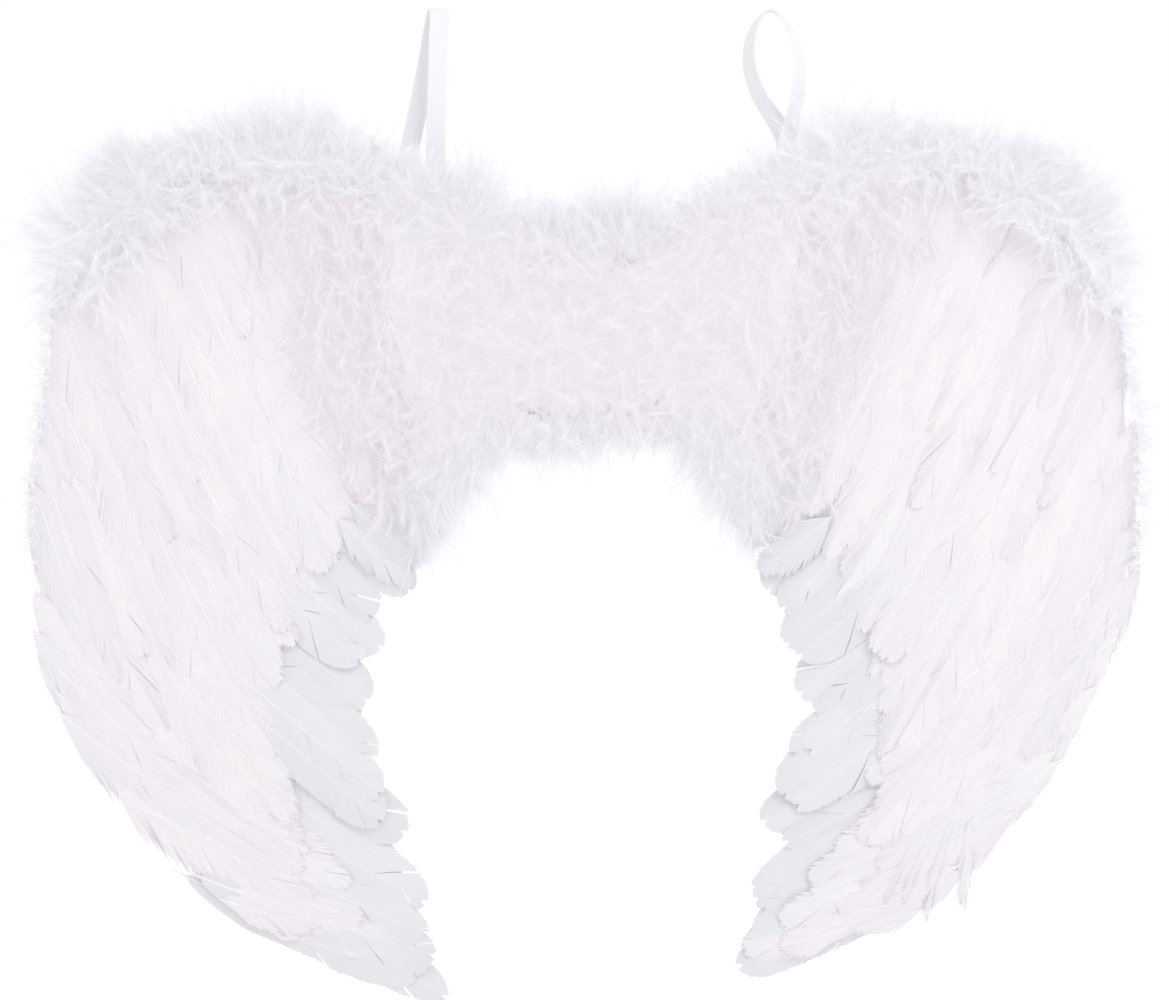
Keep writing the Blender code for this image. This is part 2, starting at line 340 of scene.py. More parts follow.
def add_feather(mesh, rng, base, axis, front, length, width, shaft_slot, tone, **extra):
    """A whole feather: two vanes and a shaft. front is the way its outer face looks."""
    axis = unit(axis)
    side = unit(np.cross(axis, front))
    front = np.cross(side, axis)
    shape = {
        "base": base, "length": length, "half_width": width / 2, "bare": 0.06, "barb_step": 0.8 * MM,
        "barb_angle": 48, "barb_close": 12, "clump": (8, 40), "notch": 0.02,
        "bend": 0.0, "lift": 3 * MM, "curl": -1 * MM, "camber": 2.0 * MM, "bluntness": 5.0,
        "ruffle": 1.0, "fray": 0.02, "unevenness": 0.12 * MM, "ridge": 0.05 * MM, "shaft": 0.5 * MM,
    }
    shape.update(extra)
    axes = (axis, side, front)
    for hand in (-1, 1):
        add_vane(mesh, rng, shape, axes, hand, tone)
    line = shaft_points(base, axis, side, front, length, shape["bend"], shape["lift"], shape["curl"],
                        np.linspace(0, 0.97, 12))
    add_shaft(mesh, line, side, front, shape["shaft"], shaft_slot)


# ---------------------------------------------------------------- down

# The strands of one plume and their thickness: marabou for the trims, finer and curlier down for the pads.
MARABOU_PLUME = {"strands": 96, "thickness": 0.15 * MM, "spread": 0.40, "sag": 0.25, "curl": 0.42}
DOWNY_PLUME = {"strands": 136, "thickness": 0.11 * MM, "spread": 0.42, "sag": 0.40, "curl": 0.55}
STRANDS_PER_PIECE = 46000


def add_strands(mesh, rng, starts, ways, lengths, droop, thickness, tones, parts=2):
    """Thin tapered strands of down, all at once. Each starts one way and is bent by its droop."""
    count = len(starts)
    places = np.linspace(0, 1, parts + 1)
    across = units(np.cross(ways, rng.normal(size=(count, 3))))
    taper = thickness * (1 - 0.85 * places)
    path = starts[:, None, :] + ways[:, None, :] * (lengths[:, None] * places)[:, :, None]
    path = path + droop[:, None, :] * (places**2)[None, :, None] * lengths[:, None, None]
    left = path - across[:, None, :] * (taper / 2)[None, :, None]
    right = path + across[:, None, :] * (taper / 2)[None, :, None]
    points = np.stack((left, right), axis=2).reshape(-1, 3)
    first = (np.arange(count) * 2 * (parts + 1))[:, None] + (2 * np.arange(parts))[None, :]
    quads = np.stack((first, first + 1, first + 3, first + 2), axis=2).reshape(-1, 4)
    mesh.add(points, quads, np.repeat(rng.integers(0, tones, count), parts))


def add_plumes(mesh, rng, roots, ways, lengths, plume, tones):
    """Plumes: each has a soft stalk, with strands that leave it on all sides towards its tip."""
    grid = (len(roots), plume["strands"])
    bend = rng.normal(0, plume["sag"], (len(roots), 3))
    place = rng.random(grid) ** 0.8
    stalk = roots[:, None, :] + ways[:, None, :] * (lengths[:, None] * place)[:, :, None]
    stalk = stalk + bend[:, None, :] * (lengths[:, None] * place**2)[:, :, None]
    way = ways[:, None, :] + 2 * bend[:, None, :] * place[:, :, None]
    way = way + rng.normal(0, 1, (*grid, 3)) * plume["spread"] * (1.15 - 0.7 * place)[:, :, None]
    way /= np.linalg.norm(way, axis=2, keepdims=True)
    length = lengths[:, None] * 0.55 * (1.1 - 0.6 * place) * rng.uniform(0.6, 1.2, grid)
    droop = rng.normal(0, plume["curl"], (*grid, 3)) + 0.3 * (ways + bend)[:, None, :]
    add_strands(mesh, rng, stalk.reshape(-1, 3), way.reshape(-1, 3), length.ravel(),
                droop.reshape(-1, 3), plume["thickness"], tones)


def add_core(mesh, rng, line, half_heights, half_depth, slot, columns=16):
    """The dense middle of a length of down: a lumpy round body along the line."""
    turn = np.linspace(0, 2 * pi, columns + 1)
    rows = len(line)
    ends = np.sin(np.linspace(0.001, pi - 0.001, rows)) ** 0.35
    lumps = 1 + 0.12 * rng.normal(size=(rows, columns + 1))
    lumps[:, -1] = lumps[:, 0]
    high = half_heights[:, None, :] * (np.cos(turn)[None, :] * lumps)[:, :, None]
    deep = FRONT * (half_depth * np.sin(turn)[None, :] * lumps)[:, :, None]
    ring = line[:, None, :] + (high + deep) * ends[:, None, None]
    mesh.add(ring.reshape(-1, 3), grid_quads(rows, columns + 1), slot)


# ---------------------------------------------------------------- materials

def new_material(name):
    """A material with its nodes and links."""
    material = bpy.data.materials.new(name)
    material.use_nodes = True
    return material, material.node_tree.nodes, material.node_tree.links


def down_material(name, colour, share=0.80, glow=0.245):
    """Loose down: matt, with a little sheen. Its glow is painted light: it stands for the light that comes
    through its strands, and lifts the shade among them.
    """
    material, nodes, _ = new_material(name)
    shader = nodes["Principled BSDF"]
    shader.inputs["Base Color"].default_value = (*(share * part for part in colour), 1)
    shader.inputs["Roughness"].default_value = 0.85
    shader.inputs["Specular IOR Level"].default_value = 0.25
    shader.inputs["Sheen Weight"].default_value = 0.12
    shader.inputs["Sheen Roughness"].default_value = 0.5
    shader.inputs["Emission Color"].default_value = (*colour, 1)
    shader.inputs["Emission Strength"].default_value = glow
    return material


def add_noise(nodes, links, scale, detail, span, dark, light):
    """Noise that turns the base colour from dark to light over its span. It gives the noise node back."""
    place = nodes.new("ShaderNodeTexCoord")
    noise = nodes.new("ShaderNodeTexNoise")
    noise.inputs["Scale"].default_value = scale
    noise.inputs["Detail"].default_value = detail
    links.new(place.outputs["Object"], noise.inputs["Vector"])
    ramp = nodes.new("ShaderNodeValToRGB")
    for element, position, colour in zip(ramp.color_ramp.elements, span, (dark, light)):
        element.position = position
        element.color = (*colour, 1)
    links.new(noise.outputs["Fac"], ramp.inputs["Fac"])
    links.new(ramp.outputs["Color"], nodes["Principled BSDF"].inputs["Base Color"])
    return noise


def vane_material(name, light, dark, glow=0.20, scale=45.0):
    """A feather's vane: soft clouds of tone, and a glow that is painted light: it stands for the light that
    comes through the vane, and lifts the shade in the gaps between feathers.
    """
    material, nodes, links = new_material(name)
    shader = nodes["Principled BSDF"]
    shader.inputs["Roughness"].default_value = 0.62
    shader.inputs["Specular IOR Level"].default_value = 0.35
    shader.inputs["Sheen Weight"].default_value = 0.12
    shader.inputs["Emission Color"].default_value = (*light, 1)
    shader.inputs["Emission Strength"].default_value = glow
    tones = [[(1 - glow) * part for part in colour] for colour in (dark, light)]
    add_noise(nodes, links, scale, 4.0, (0.35, 0.70), *tones)
    return material


def plain_noise_material(name, light, dark, scale, roughness, bump=0.0, metallic=0.0):
    """A material of two tones in a fine grain, with relief of that grain."""
    material, nodes, links = new_material(name)
    shader = nodes["Principled BSDF"]
    shader.inputs["Roughness"].default_value = roughness
    shader.inputs["Metallic"].default_value = metallic
    grain = add_noise(nodes, links, scale, 6.0, (0.3, 0.7), dark, light)
    if bump:
        relief = nodes.new("ShaderNodeBump")
        relief.inputs["Strength"].default_value = bump
        relief.inputs["Distance"].default_value = 0.4 * MM
        links.new(grain.outputs["Fac"], relief.inputs["Height"])
        links.new(relief.outputs["Normal"], shader.inputs["Normal"])
    return material


# Colours: three close tones for each kind of feather and down. Warm ones are faintly pink; over the card that
# pink is partly painted light, for the light that comes back through the feathers and down off the card.
WARM = ((0.788, 0.750, 0.790), (0.768, 0.732, 0.773), (0.810, 0.776, 0.808))
# The quills' cool tones are the same white made darker and greyer: painted shade where no card is behind
# them.
SHADED_COOL = ((0.705, 0.704, 0.740), (0.682, 0.682, 0.718), (0.730, 0.728, 0.760))
# The edge tones are a slightly darker, cooler copy of the warm ones: painted shade along the wing's edges.
SHADED_EDGE = ((0.778, 0.750, 0.788), (0.758, 0.732, 0.773), (0.798, 0.772, 0.804))
DOWNY = ((0.900, 0.868, 0.900), (0.915, 0.885, 0.915), (0.888, 0.854, 0.890))
MARABOU = ((0.865, 0.865, 0.892), (0.890, 0.890, 0.915), (0.840, 0.842, 0.872))
# The right wing's marabou takes these lighter, warmer tones: painted light on the wing that the light falls
# on more.
LIT_WARM_MARABOU = ((0.880, 0.874, 0.902), (0.900, 0.896, 0.922), (0.856, 0.850, 0.882))


def vane_tones(name, tones):
    """One vane material for each tone, each clouded with the next tone."""
    after = tones[1:] + tones[:1]
    return [vane_material(f"{name}_{index}", tone, after[index]) for index, tone in enumerate(tones)]


def down_tones(name, tones, **look):
    """One down material for each tone."""
    return [down_material(f"{name}_{index}", tone, **look) for index, tone in enumerate(tones)]


COVERT_MATERIALS = vane_tones("covert_vane", WARM) + vane_tones("shaded_edge_vane", SHADED_EDGE)
QUILL_MATERIALS = vane_tones("shaded_quill_vane", SHADED_COOL)
SHAFT_MATERIAL = plain_noise_material("feather_shaft", (0.90, 0.895, 0.91), (0.86, 0.85, 0.855), 120, 0.4)
DOWN_MATERIALS = down_tones("marabou", MARABOU)
LIT_WARM_DOWN_MATERIALS = down_tones("lit_warm_marabou", LIT_WARM_MARABOU)
# The pads and their core glow most and reflect least: the most painted light, which flattens their shading.
PAD_MATERIALS = down_tones("downy", DOWNY, share=0.62, glow=0.39)
CORE_MATERIAL = down_material("downy_core", (0.86, 0.84, 0.865), 0.66, 0.34)
FELT = plain_noise_material("white_felt", (0.82, 0.81, 0.81), (0.76, 0.75, 0.76), 900, 0.95, 0.6)
CARD = plain_noise_material("white_card", (0.84, 0.82, 0.83), (0.80, 0.78, 0.79), 400, 0.8, 0.2)
STEEL = plain_noise_material("steel_wire", (0.60, 0.60, 0.62), (0.48, 0.48, 0.50), 600, 0.35, 0.1, 1.0)
ELASTIC = plain_noise_material("white_elastic", (0.81, 0.805, 0.84), (0.77, 0.765, 0.80), 1500, 0.6, 0.3)
TAPE = plain_noise_material("woven_tape", (0.80, 0.80, 0.80), (0.74, 0.74, 0.75), 1800, 0.75, 0.4)
THREAD = plain_noise_material("white_thread", (0.86, 0.86, 0.86), (0.78, 0.78, 0.78), 2500, 0.6)


# ---------------------------------------------------------------- the wings

# The first and the last flight feather's station, length in metres and slope in degrees.
FLIGHT_COUNT = 10
FLIGHT_STATIONS = (1.7, LAST_STATION)
FLIGHT_LENGTHS = (0.105, 0.138)
FLIGHT_SLOPES = (46, 27)

# What each kind of feather has in common. The rest is drawn for each feather.
QUILL_SHAPE = {
    "camber": 1.6 * MM, "fray": 0.02, "ruffle": 1.7, "notch": 0.05, "shaft": 0.55 * MM,
    "barb_angle": 42, "barb_close": 14, "clump": (24, 90), "ridge": 0.07 * MM,
}
ROOT_FEATHER_SHAPE = {
    "camber": 1.0 * MM, "fray": 0.10, "ruffle": 1.3, "notch": 0.06, "shaft": 0.4 * MM, "bare": 0.0,
    "barb_angle": 32, "barb_close": 10, "barb_step": 0.6 * MM, "clump": (20, 60),
}
COVERT_SHAPE = {
    "bare": 0.0, "fray": 0.09, "ruffle": 0.9, "notch": 0.03, "unevenness": 0.08 * MM,
    "barb_angle": 26, "barb_close": 8, "barb_step": 0.65 * MM, "clump": (30, 100), "ridge": 0.05 * MM,
}
TORN_STRIP_SHAPE = {
    "lift": 1.5 * MM, "camber": 0.5 * MM, "bare": 0.0, "barb_angle": 18, "fray": 0.15, "shaft": 0.2 * MM,
}


def slope_way(wing, slope):
    """The way a feather's tip points when its shaft slopes that many degrees below level."""
    return np.array((-wing.side * cos(radians(slope)), 0.0, -sin(radians(slope))))


def make_flight_feathers(wing):
    """The quill feathers down the inner edge, one over each CAD blade and a shorter one under it."""
    rng = wing.random(11)
    for index in range(FLIGHT_COUNT):
        node = f"{wing.prefix}_flight_feather_{index + 1}"
        for copy in range(2):
            share = (index + 0.5 * copy) / (FLIGHT_COUNT - 1)
            station = min(np.interp(share, (0, 1), FLIGHT_STATIONS), LAST_STATION)
            slope = np.interp(share, (0, 1), FLIGHT_SLOPES) + rng.normal(0, 4.0)
            length = np.interp(share, (0, 1), FLIGHT_LENGTHS)
            way = slope_way(wing, slope)
            tip = wing.point(station, 0.0) - way * (0.7 * copy + rng.uniform(-0.4, 0.5)) * 14 * MM
            base = tip - way * length * 0.985 + np.array((0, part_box(node)[0].y - copy * 0.6 * MM, 0))
            mesh = Mesh()
            add_feather(
                mesh, rng, base, way, FRONT + np.array((0, 0, rng.normal(0.03, 0.03))), length,
                rng.uniform(24, 32) * MM, 3, rng.integers(0, 3), bend=wing.side * rng.uniform(-0.04, 0.06),
                lift=rng.uniform(-1.5, 1.0) * MM, curl=rng.uniform(-1, 2) * MM,
                bluntness=rng.uniform(7, 14), **QUILL_SHAPE,
            )
            name = f"{wing.prefix}_quill_{index + 1}" + ("_under" if copy else "")
            # The quills take their cool tones, a painted shade.
            piece = mesh.build(name, QUILL_MATERIALS + [SHAFT_MATERIAL])
            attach(piece, wing.body)
            if copy == 0:
                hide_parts(node)


def make_root_feathers(wing):
    """Soft ragged feathers that hang from the lower edge of the wing's root, above the quills."""
    rng = wing.random(15)
    mesh = Mesh()
    for station in np.linspace(2.3, 0.5, 9):
        way = slope_way(wing, np.interp(station, (0.5, 2.3), (64, 46)) + rng.normal(0, 5))
        length = rng.uniform(46, 60) * MM
        tip = wing.point(station + rng.normal(0, 0.08), -0.02) + way * rng.uniform(-2, 4) * MM
        base = tip - way * length + FRONT * rng.uniform(*ROOT_FEATHER_DEPTHS) * MM
        add_feather(
            mesh, rng, base, way, FRONT + rng.normal(0, 0.04, 3), length, rng.uniform(20, 27) * MM, 3,
            rng.integers(0, 3), bend=wing.side * rng.normal(0, 0.06), lift=rng.uniform(0, 2) * MM,
            curl=rng.uniform(-2, 0) * MM, bluntness=rng.uniform(2.5, 5.0), **ROOT_FEATHER_SHAPE,
        )
    # The root feathers take the quills' cool tones, a painted shade.
    piece = mesh.build(f"{wing.prefix}_root_feathers", QUILL_MATERIALS + [SHAFT_MATERIAL])
    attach(piece, wing.body)


def add_under_layer(mesh, rng, wing, start, end, inner=0.46, outer=0.95):
    """The dense short feathering under the coverts, so that no card or wire shows between them."""
    rows, columns = 30, 24
    places = [[wing.point(station, across) for across in np.linspace(inner, outer, columns)]
              for station in np.linspace(start, end, rows)]
    layer = np.array(places) + FRONT * (UNDER_LAYER_DEPTH + 0.5 * MM * rng.random((rows, columns, 1)))
    mesh.add(layer.reshape(-1, 3), grid_quads(rows, columns), 0)


# Each band of coverts with its first and last station and its number of steps, from the tip up.
COVERT_BANDS = (("lower", 6.4, 8.8, 12), ("middle", 3.7, 6.2, 13), ("upper", 1.0, 3.5, 12))
COVERT_ROWS = np.linspace(0.46, 0.98, 6)
OUTER_ROW = len(COVERT_ROWS) - 1
TONES = 3


def add_covert(mesh, rng, wing, station, row, across):
    """One covert feather, cut to the room it has. The innermost and the outermost take the edge tones, a
    painted shade along the wing's edges.
    """
    place = max(station + rng.normal(0, 0.12), 0.6)
    edge = min(across + rng.normal(0, 0.03), 0.965 if place > 4.0 else 0.985)
    axis = unit(wing.lie(place, edge) + rng.normal(0, 0.07, 3) * np.array((1, 0, 1)))
    base = wing.point(place, edge) - axis * 0.006 + FRONT * rng.uniform(*COVERT_DEPTHS) * MM
    length = wing.room(base, axis, rng.uniform(85, 140) * MM)
    width = max(length * rng.uniform(0.27, 0.36), 24 * MM) * (0.75 if row == OUTER_ROW else 1.0)
    axis = wing.steered(base, axis, length, 0.3 * width)
    if row == 0:
        length += rng.uniform(0, 12) * MM
    outermost = row == OUTER_ROW and place > 5.4
    tone = rng.integers(0, TONES) + (TONES if outermost or row == 0 else 0)
    shaft_shows = rng.random() < 0.35
    add_feather(
        mesh, rng, base, axis, FRONT + rng.normal(0, 0.03, 3), length, width, 2 * TONES, tone,
        bend=wing.side * rng.normal(0.04, 0.05), lift=rng.uniform(0.8, 2.2) * MM,
        curl=rng.uniform(-2.0, -0.8) * MM, camber=rng.uniform(0.5, 1.1) * MM,
        bluntness=rng.uniform(2.4, 4.0), shaft=(0.5 if shaft_shows else 0.28) * MM, **COVERT_SHAPE,
    )


def make_coverts(wing):
    """Rows of covert feathers from the tip up, each row lying over the one below it."""
    rng = wing.random(21)
    for band, start, end, steps in COVERT_BANDS:
        mesh = Mesh()
        add_under_layer(mesh, rng, wing, start, end + 0.2)
        if band == "upper":
            add_under_layer(mesh, rng, wing, 0.02, start + 0.1, 0.10, 0.96)
        for station in np.linspace(end, start, steps):
            for row, across in enumerate(COVERT_ROWS):
                add_covert(mesh, rng, wing, station, row, across)
        piece = mesh.build(f"{wing.prefix}_covert_feathers_{band}", COVERT_MATERIALS + [SHAFT_MATERIAL])
        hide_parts(f"{wing.prefix}_{band}_coverts")
        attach(piece, wing.body)


def make_torn_strips():
    """Strips of barbs that have parted near the tip of the right wing and hang past its edge."""
    rng = np.random.default_rng(81)
    mesh = Mesh()
    for start, lean in ((0.200, -0.10), (0.190, -0.32), (0.183, -0.42), (0.176, -0.50)):
        base = np.array((start, -TORN_STRIP_DEPTH, -0.262 + rng.uniform(-2, 2) * MM))
        # The strips take an edge tone, a painted shade.
        add_feather(mesh, rng, base, np.array((lean, 0, -1.0)), FRONT, rng.uniform(44, 54) * MM,
                    rng.uniform(5, 8) * MM, 2 * TONES, TONES + 1, bend=rng.uniform(-0.12, 0.0),
                    **TORN_STRIP_SHAPE)
    piece = mesh.build("right_torn_strips", COVERT_MATERIALS + [SHAFT_MATERIAL])
    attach(piece, RIGHT.body)


def make_veil(wing):
    """Soft loose barbs over the coverts, thickest near the root and along the outer edge."""
    rng = wing.random(61)
    count = 4200
    stations = 0.8 + 8.2 * rng.random(count) ** 1.4
    starts, ways = [], []
    for station, across in zip(stations, 0.30 + 0.69 * rng.random(count) ** 0.7):
        starts.append(wing.point(station, across) + FRONT * rng.uniform(*LOOSE_BARB_DEPTHS) * MM)
        ways.append(wing.lie(station, across))
    starts = np.array(starts)
    ways = np.array(ways) + rng.normal(0, 0.30, (count, 3)) * np.array((1, 0.2, 1))
    mesh = Mesh()
    add_strands(mesh, rng, starts, ways, rng.uniform(5, 15, count) * MM, rng.normal(0, 0.35, (count, 3)),
                DOWNY_PLUME["thickness"], 3, 3)
    piece = mesh.build(f"{wing.prefix}_loose_barbs", PAD_MATERIALS)
    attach(piece, wing.body)


def edge_roots(wing, rng, stations):
    """Roots and ways of plumes along the outer edge: most point out of the wing, a few back over it."""
    roots, ways = [], []
    deepest = 33 if wing.side < 0 else 26
    for station in stations:
        along = wing.tipward(station, 1.0)
        outward = np.array((along[2], 0, -along[0])) * wing.side
        if outward @ wing.inward(station) > 0:
            outward = -outward
        thin = station > 4.5
        inner = rng.random() < 0.35 and not thin
        inset = rng.uniform(14, deepest) if inner else rng.uniform(6, 22 - 12 * thin)
        depth = rng.uniform(15, 21) if inner else rng.uniform(5, 22)
        turn = rng.uniform(-3.0, 3.0) if inner else rng.normal(0.15, 0.42)
        roots.append(wing.point(station, 1.0) - outward * inset * MM + FRONT * depth * MM)
        ways.append(unit(outward * cos(turn) + along * sin(turn) + FRONT * rng.normal(0.0, 0.14)))
    return np.array(roots), np.array(ways)


def build_down(name, node, body, materials, plume, rng, core, roots, ways, lengths):
    """Plumes in pieces of a handy size, from one side to the other. The first piece holds the core too."""
    order = np.argsort(roots[:, 0])
    parts = int(np.ceil(len(order) * plume["strands"] / STRANDS_PER_PIECE))
    for number, chosen in enumerate(np.array_split(order, parts)):
        mesh = Mesh()
        if number == 0 and core is not None:
            add_core(mesh, rng, *core)
        add_plumes(mesh, rng, roots[chosen], ways[chosen], lengths[chosen], plume, 3)
        piece = mesh.build(f"{name}_{number + 1}", materials + [CORE_MATERIAL])
        if number == 0 and node:
            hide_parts(node)
        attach(piece, body)


# How far the marabou stands out, as a share of its usual length, at stations along the outer edge.
TUFTS = {
    "left": ((0, 0.3, 0.7, 1.3, 1.8, 2.1, 2.5, 2.9, 3.3, 3.6, 4.0, 4.3, 4.6, 5.2, 6.2),
             (1.6, 1.5, 0.7, 0.75, 1.2, 1.3, 0.9, 0.8, 1.15, 1.2, 1.7, 1.3, 0.42, 0.30, 0.28)),
    "right": ((0, 0.5, 1.0, 1.4, 1.7, 2.1, 2.6, 3.0, 3.4, 3.8, 4.2, 4.6, 5.0, 5.2, 5.5, 5.8, 6.0, 6.4),
              (0.9, 0.8, 0.9, 1.3, 1.4, 0.85, 0.8, 0.9, 1.2, 1.6, 1.4, 0.40, 0.6, 0.75, 0.3, 0.55, 0.3, 0.4)),
}


def make_marabou(wing):
    """The marabou trim: full along the top edge, spiky at the shoulder, and thin down the outer edge."""
    rng = wing.random(31)
    for name, start, end, core_end, count in (
        ("top_marabou", 0.10, 3.3, 3.3, 940), ("shoulder_marabou", 3.1, 6.3, 4.4, 560),
    ):
        core_stations = np.linspace(start, core_end, 40)
        line = np.array([wing.point(at, 1.0) + wing.inward(at) * 15 * MM for at in core_stations])
        heights = np.array([-wing.inward(at) * 8 * MM for at in core_stations])
        core = (line + FRONT * TRIM_CORE_DEPTH, heights, 5 * MM, 3)
        share = rng.random(count) if name == "top_marabou" else rng.random(count) ** 2.2
        stations = start + (end - start) * share
        roots, ways = edge_roots(wing, rng, stations)
        lengths = rng.uniform(11, 20, count) * MM * np.interp(stations, *TUFTS[wing.prefix])
        # The right wing's marabou is the lighter copy: painted light.
        materials = DOWN_MATERIALS if wing.side < 0 else LIT_WARM_DOWN_MATERIALS
        build_down(f"{wing.prefix}_{name}_plumes", f"{wing.prefix}_{name}", wing.body, materials,
                   MARABOU_PLUME, rng, core, roots, ways, lengths)


def make_root_down(wing):
    """Loose down over the wing's root, and the longer cool fluff that hangs from its lower edge."""
    rng = wing.random(41)
    core_stations = np.linspace(0.0, 1.5, 24)
    line = np.array([wing.point(at, 0.52) for at in core_stations]) + FRONT * PAD_CORE_DEPTH
    heights = np.array([(wing.point(at, 0.9) - wing.point(at, 0.14)) / 2 for at in core_stations])
    groups = (
        ("root_down", PAD_MATERIALS, DOWNY_PLUME, (line, heights, 4 * MM, 3, 40), 1250, (0.14, 0.97), 2.6,
         (11, 21), 1.5),
        ("root_fringe", DOWN_MATERIALS, MARABOU_PLUME, None, 300, (0.02, 0.20), 2.0, (14, 27), 0.6),
    )
    for name, materials, plume, core, count, (low, high), furthest, reach, fan in groups:
        stations = rng.random(count) * furthest
        across = rng.uniform(low, high, count)
        roots, ways = [], []
        for station, edge in zip(stations, across):
            turn = rng.uniform(-fan, fan) * (1 - 0.25 * station)
            down = wing.lie(station, edge)
            height = max(rng.uniform(13, 20) - 6.0 * max(station - 1.0, 0.0), 10.2)
            roots.append(wing.point(station, edge) + FRONT * height * MM)
            ways.append(down * cos(turn) + np.array((-down[2], rng.uniform(-0.1, 0.1), down[0])) * sin(turn))
        build_down(f"{wing.prefix}_{name}_plumes", f"{wing.prefix}_root_down" if core else None, wing.body,
                   materials, plume, rng, core, np.array(roots), np.array(ways),
                   rng.uniform(*reach, count) * MM)


def make_fold_down(wing):
    """Down across the fold."""
    rng = wing.random(91)
    fold = wing.point(0.0, 0.5)[0]
    count = 260
    low, high = wing.point(0.0, 0.10)[2], wing.point(0.0, 0.88)[2]
    roots = rng.uniform((fold - 11 * MM, -20 * MM, low), (fold + 11 * MM, -8 * MM, high), (count, 3))
    ways = units(rng.normal(0, 1, (count, 3)) * np.array((1, 0.12, 1)))
    mesh = Mesh()
    add_plumes(mesh, rng, roots, ways, rng.uniform(9, 17, count) * MM, DOWNY_PLUME, 3)
    piece = mesh.build(f"{wing.prefix}_fold_down", PAD_MATERIALS)
    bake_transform(piece)


# How far the bridge's trims stand out at these places along X: they are lumpy, with one higher tuft.
BRIDGE_PLACES = (-0.055, -0.035, -0.010, 0.008, 0.022, 0.036, 0.055)
BRIDGE_TUFTS = (0.75, 0.65, 0.90, 1.25, 1.45, 0.80, 0.90)


def make_bridge_pad(rng):
    """The down over the bridge."""
    low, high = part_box("centre_down_pad")
    middle = (low.z + high.z) / 2
    line = np.array([(x, -PAD_CORE_DEPTH, middle) for x in np.linspace(low.x - 0.003, high.x + 0.003, 30)])
    heights = np.tile((0, 0, (high.z - low.z) / 2 + 0.006), (30, 1))
    count = 880
    bottom = low.z + 6 * MM
    roots = rng.uniform((low.x - 0.006, -23 * MM, bottom), (high.x + 0.006, -15 * MM, high.z), (count, 3))
    ways = units(rng.normal(0, 1, (count, 3)) * np.array((1, 0.12, 1)) + np.array((0, 0, -0.25)))
    build_down("centre_down_plumes", "centre_down_pad", "centre_panel", PAD_MATERIALS, DOWNY_PLUME, rng,
               (line, heights, 4 * MM, 3, 40), roots, ways, rng.uniform(10, 22, count) * MM)


def make_bridge_trim(rng, node, rise, reach):
    """The marabou along the bridge's top edge, where rise is 1, or bottom edge, where it is -1."""
    low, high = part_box(node)
    count = 460
    middle = (low.z + high.z) / 2
    line = np.array([(x, -TRIM_CORE_DEPTH, middle) for x in np.linspace(low.x - 0.01, high.x + 0.01, 24)])
    heights = np.tile((0, 0, (high.z - low.z) / 2), (24, 1))
    roots = rng.uniform((low.x - 0.008, -22 * MM, low.z), (high.x + 0.008, -5 * MM, high.z), (count, 3))
    ways = units(np.array((0, -0.05, rise)) + rng.normal(0, 0.4, (count, 3)))
    lumps = np.interp(roots[:, 0] * rise, BRIDGE_PLACES, BRIDGE_TUFTS)
    build_down(f"{node}_plumes", node, "centre_panel", DOWN_MATERIALS, MARABOU_PLUME, rng,
               (line, heights, 5 * MM, 3), roots, ways, rng.uniform(*reach, count) * MM * lumps)


def make_centre_down():
    """Down over the bridge between the wings, with its top trim and its bottom fringe."""
    rng = np.random.default_rng(51)
    make_bridge_pad(rng)
    make_bridge_trim(rng, "centre_top_marabou", 1, (9, 19))
    make_bridge_trim(rng, "centre_bottom_fringe", -1, (8, 16))


# ---------------------------------------------------------------- felt, tape, patches and elastics

def felt_sheet(name, node, body, outline, low, high, rng):
    """A soft felt sheet with gentle unevenness and a rounded edge, cut to the outline in the XZ plane."""
    rows, columns = outline.shape[:2]
    lumps = rng.normal(0, 0.07 * MM, (rows, columns))
    mesh = Mesh()
    back = outline + np.array((0, 1, 0)) * (high - np.abs(lumps))[:, :, None]
    front = outline + np.array((0, 1, 0)) * np.full((rows, columns), low)[:, :, None]
    rim = np.ones((rows, columns), bool)
    rim[1:-1, 1:-1] = False
    back[rim] -= np.array((0, 0.3 * MM, 0))
    mesh.add(back.reshape(-1, 3), grid_quads(rows, columns), 0)
    mesh.add(front.reshape(-1, 3), grid_quads(rows, columns)[:, ::-1], 0)
    border = [(row, 0) for row in range(rows)] + [(rows - 1, column) for column in range(1, columns)]
    border += [(row, columns - 1) for row in range(rows - 2, -1, -1)]
    border += [(0, column) for column in range(columns - 2, -1, -1)]
    wall = np.array([(back[at], front[at]) for at in border])
    mesh.add(wall.reshape(-1, 3), grid_quads(len(border), 2), 0)
    piece = mesh.build(name, [FELT], feathery=False)
    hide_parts(node)
    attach(piece, body)
    return piece


def make_back_felt(wing):
    """The felt sheet that lines the wing's back."""
    rng = wing.random(71)
    low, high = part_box(f"{wing.prefix}_back_cover")
    near = min(abs(low.x), abs(high.x))
    rows = []
    for station in np.linspace(0.0, 9.2, 60):
        inner = wing.point(station, 0.19)
        outer = wing.point(station, 1.0) + wing.inward(station) * 27 * MM
        rows.append([inner + (outer - inner) * share for share in np.linspace(0, 1, 24)])
    outline = np.array(rows)
    outline[:, :, 0] = wing.side * np.maximum(wing.side * outline[:, :, 0], near)
    piece = felt_sheet(f"{wing.prefix}_back_felt", f"{wing.prefix}_back_cover", wing.body, outline,
                       low.y, high.y, rng)


def make_centre_felt():
    """The felt sheet that lines the back of the centre panel."""
    low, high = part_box("centre_back_cover")
    across, down = np.meshgrid(np.linspace(low.x, high.x, 30), np.linspace(high.z, low.z, 30))
    outline = np.stack((across, np.zeros_like(across), down), axis=2)
    piece = felt_sheet("centre_back_felt", "centre_back_cover", "centre_panel", outline, low.y, high.y,
                       np.random.default_rng(73))


